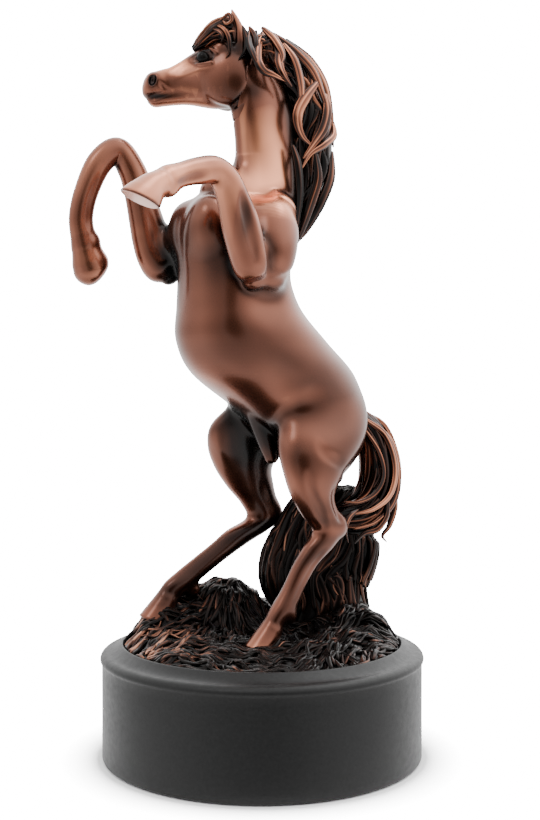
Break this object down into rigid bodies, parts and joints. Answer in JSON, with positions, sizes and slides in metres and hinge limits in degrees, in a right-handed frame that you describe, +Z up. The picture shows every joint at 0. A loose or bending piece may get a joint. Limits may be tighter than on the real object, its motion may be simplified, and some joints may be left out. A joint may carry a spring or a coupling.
{
  "type": "horse statue",
  "caption": "Bronze statue of a rearing horse on its hind legs, head turned, standing on grassy ground set into a round black base.",
  "frame": {"origin": "centre of the base's underside, on the felt's lower face", "axes": "+Z up; the horse's body faces -X, its left side faces -Y and its tail is towards +X"},
  "size_m": [0.1352, 0.1264, 0.2879],
  "materials": {
    "plinth": "turned hardwood painted satin black",
    "felt": "black felt",
    "ground": "bronze with a near-black patina, copper showing on the raised grass",
    "bark": "bronze with a dark brown-black patina",
    "bronze": "satin brown-copper bronze, polished smooth, darker in the recesses",
    "hair": "chased bronze, copper on the ridges and near-black in the grooves",
    "eye": "gloss black enamel",
    "steel": "plain bright steel"
  },
  "bodies": {
    "root": {"plinth": "plinth", "felt_pad": "felt", "ground_casting": "ground", "stump_casting": "bark", "torso_casting": "bronze", "neck_casting": "bronze", "head_casting": "bronze", "left_eye": "eye", "right_eye": "eye", "mane_casting": "hair", "forelock_casting": "hair", "left_foreleg_casting": "bronze", "right_foreleg_casting": "bronze", "left_hind_leg_casting": "bronze", "right_hind_leg_casting": "bronze", "tail_casting": "hair", "base_screws": "steel", "base_washers": "steel", "hoof_studs": "steel", "hoof_nuts": "steel", "hoof_washers": "steel", "neck_pins": "steel", "head_pin": "steel", "mane_pins": "steel", "foreleg_pins": "steel", "hind_leg_pins": "steel", "tail_pin": "steel", "stump_pin": "steel"}
  },
  "joints": []
}
